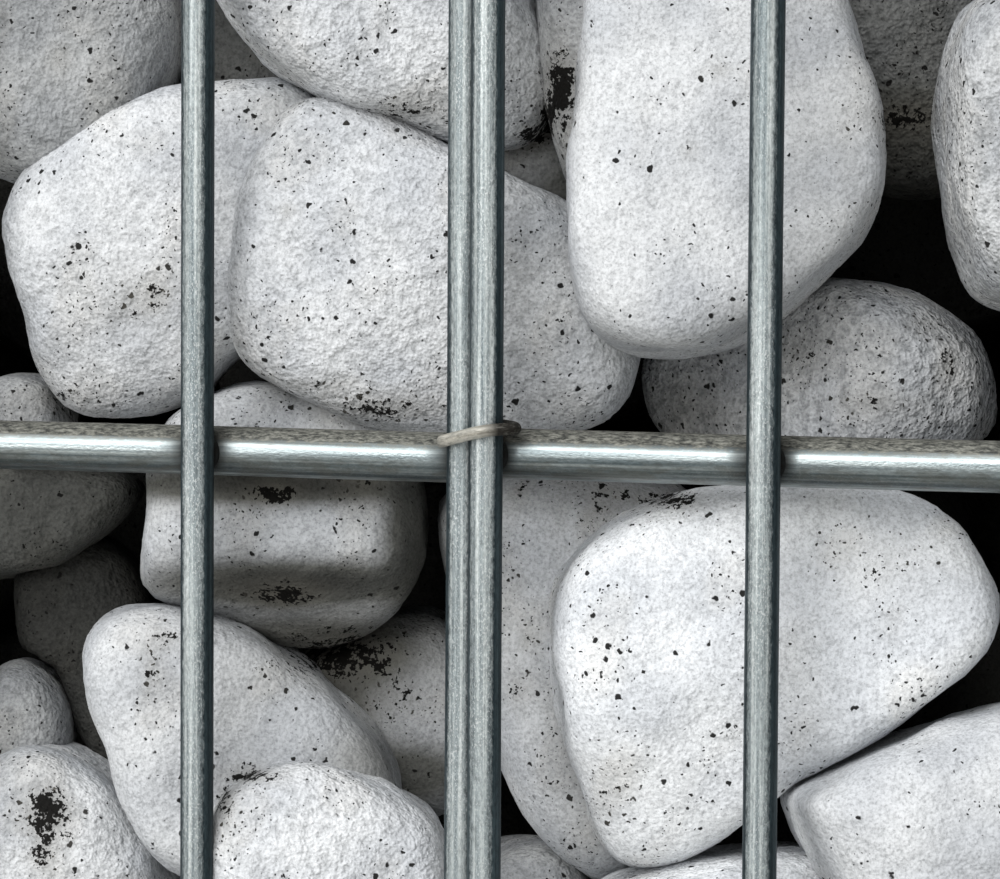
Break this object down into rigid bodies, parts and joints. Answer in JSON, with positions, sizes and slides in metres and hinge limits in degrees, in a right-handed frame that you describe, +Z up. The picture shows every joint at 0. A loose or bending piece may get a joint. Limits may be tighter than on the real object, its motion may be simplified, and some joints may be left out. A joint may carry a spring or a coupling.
{
  "type": "gabion wall",
  "caption": "Straight gabion wall of welded wire mesh baskets joined in a row with C-rings and filled with rounded stones.",
  "frame": {"origin": "on the ground under the middle of the wall", "axes": "+X along the wall to the right seen from its front, +Y from the front to the back, +Z up"},
  "size_m": [2.4366, 0.4285, 0.621],
  "materials": {
    "mesh_steel": "hot-dip galvanised steel wire, weathered dull grey with bright streaks and dust",
    "ring_steel": "zinc-aluminium coated spring wire, dull with a brownish bloom",
    "stone": "tumbled pale grey stone, pitted, with dark specks"
  },
  "bodies": {
    "root": {"back_mesh_1": "mesh_steel", "back_mesh_2": "mesh_steel", "back_mesh_3": "mesh_steel", "base_mesh_1": "mesh_steel", "base_mesh_2": "mesh_steel", "base_mesh_3": "mesh_steel", "corner_rings_back_left": "ring_steel", "corner_rings_back_right": "ring_steel", "corner_rings_front_left": "ring_steel", "corner_rings_front_right": "ring_steel", "end_mesh_left": "mesh_steel", "end_mesh_right": "mesh_steel", "front_mesh_1": "mesh_steel", "front_mesh_2": "mesh_steel", "front_mesh_3": "mesh_steel", "joint_rings_back_1": "ring_steel", "joint_rings_back_2": "ring_steel", "joint_rings_front_1": "ring_steel", "joint_rings_front_2": "ring_steel", "lid_mesh_1": "mesh_steel", "lid_mesh_2": "mesh_steel", "lid_mesh_3": "mesh_steel", "stone_fill_1": "stone", "stone_fill_2": "stone", "stone_fill_3": "stone"}
  },
  "joints": []
}
